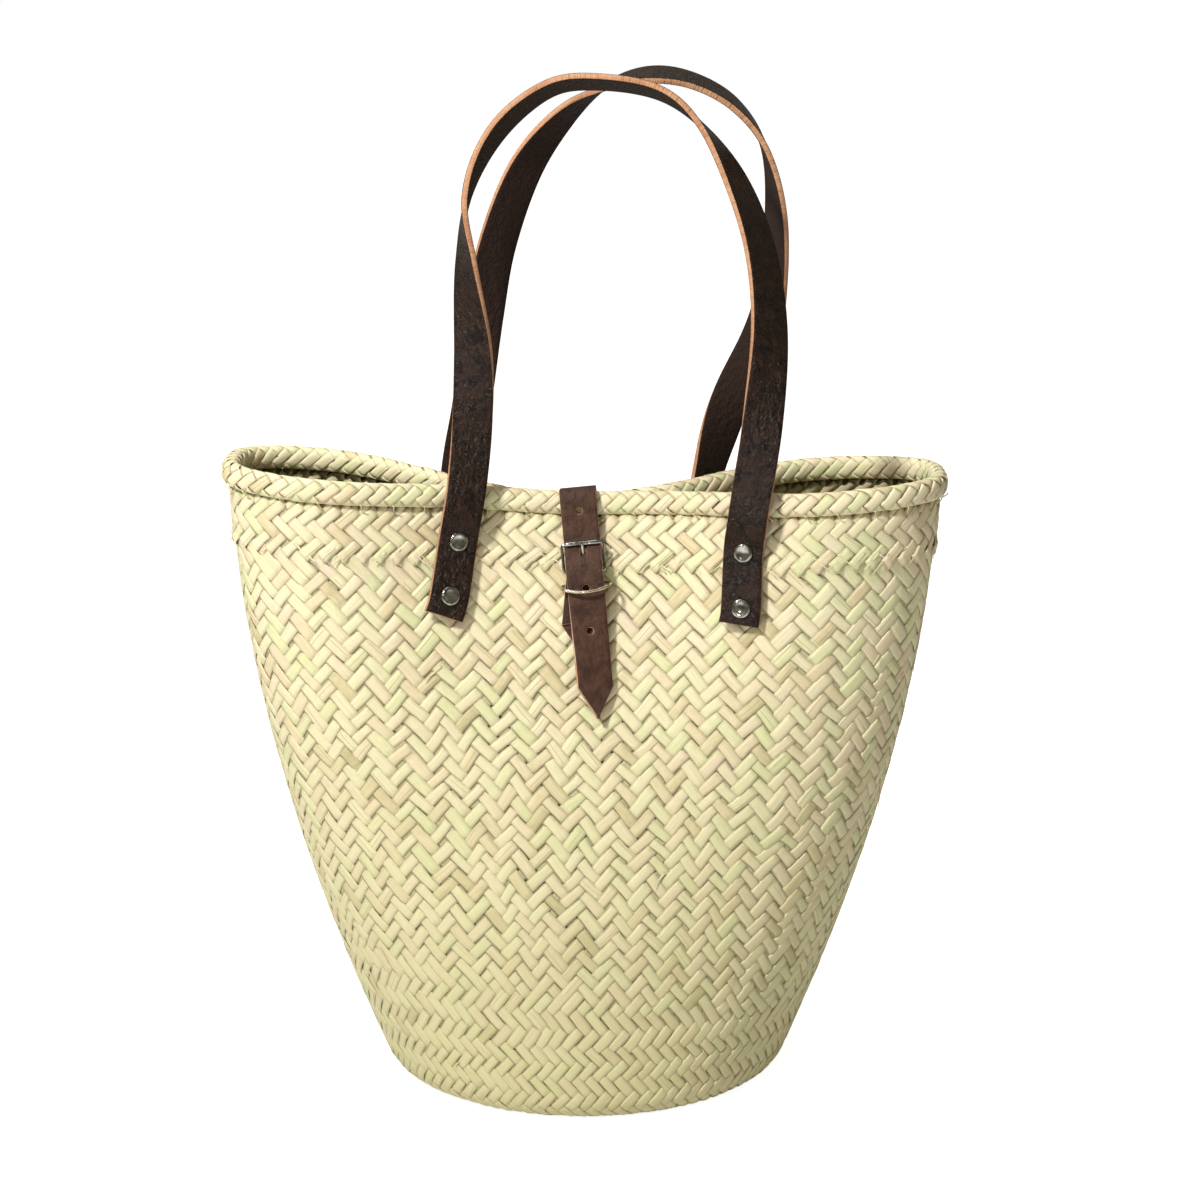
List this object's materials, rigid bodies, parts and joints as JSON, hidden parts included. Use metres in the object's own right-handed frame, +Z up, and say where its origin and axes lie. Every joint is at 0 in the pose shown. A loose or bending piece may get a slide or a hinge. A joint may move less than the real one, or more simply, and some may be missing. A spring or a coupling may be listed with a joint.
{
  "type": "woven market basket",
  "caption": "Tall woven palm-leaf market basket with a braided rim, leather strap handles and a buckled leather closing strap.",
  "frame": {"origin": "centre of the base, on the floor", "axes": "+Z up, front (buckle side) towards -Y, +X to the right seen from the front"},
  "size_m": [0.4638, 0.254, 0.6432],
  "materials": {
    "palm_leaf": "natural dried palm strips, matt",
    "rim_palm": "natural dried palm plait, matt",
    "palm_cord": "twisted palm cord, matt",
    "handle_leather": "dark brown, semi-gloss grain side, raw tan edges",
    "closure_leather": "dark brown, matt",
    "steel": "polished",
    "ring_wire": "polished, slightly warm",
    "rivet": "satin, lightly scratched"
  },
  "bodies": {
    "basket": {"woven_body": "palm_leaf", "rim_braid": "rim_palm", "rim_stitching": "palm_cord", "front_handle_foot_left": "handle_leather", "front_handle_foot_right": "handle_leather", "back_handle_foot_left": "handle_leather", "back_handle_foot_right": "handle_leather", "handle_rivet_caps": "rivet", "handle_rivet_posts": "rivet", "handle_rivet_washers": "rivet", "closure_strap": "closure_leather", "closure_strap_rivet_cap": "rivet", "closure_rivet_posts": "rivet", "closure_rivet_washers": "rivet", "buckle_chape": "closure_leather", "chape_rivet_cap": "rivet"},
    "front_handle": {"front_handle_loop": "handle_leather"},
    "back_handle": {"back_handle_loop": "handle_leather"},
    "strap_tail": {"closure_strap_tail": "closure_leather"},
    "buckle": {"buckle_frame": "steel"},
    "tongue": {"buckle_tongue": "steel"},
    "keeper": {"keeper_ring": "ring_wire"}
  },
  "joints": [
    {"name": "front_handle_swing", "type": "hinge", "parent": "basket", "child": "front_handle", "pos_m": [0, -0.0572, 0.389], "axis": [0.9922, -0.1249, 0], "range_deg": [0, 150]},
    {"name": "back_handle_swing", "type": "hinge", "parent": "basket", "child": "back_handle", "pos_m": [0, 0.0406, 0.389], "axis": [-0.995, -0.1002, 0], "range_deg": [0, 150]},
    {"name": "closure_tail_lift", "type": "hinge", "parent": "basket", "child": "strap_tail", "pos_m": [0.00144, -0.05376, 0.31857], "axis": [-0.9954, 0, -0.0958], "range_deg": [0, 80]},
    {"name": "buckle_frame_tilt", "type": "hinge", "parent": "basket", "child": "buckle", "pos_m": [0, -0.03964, 0.3335], "axis": [0.9954, 0, 0.0958], "range_deg": [0, 6]},
    {"name": "buckle_tongue_lift", "type": "hinge", "parent": "buckle", "child": "tongue", "pos_m": [0, -0.03964, 0.3335], "axis": [0.9954, 0, 0.0958], "range_deg": [0, 6]},
    {"name": "keeper_ring_swing", "type": "hinge", "parent": "basket", "child": "keeper", "pos_m": [0.00067, -0.04316, 0.32653], "axis": [-0.9954, 0, -0.0958], "range_deg": [-3, 10]}
  ]
}
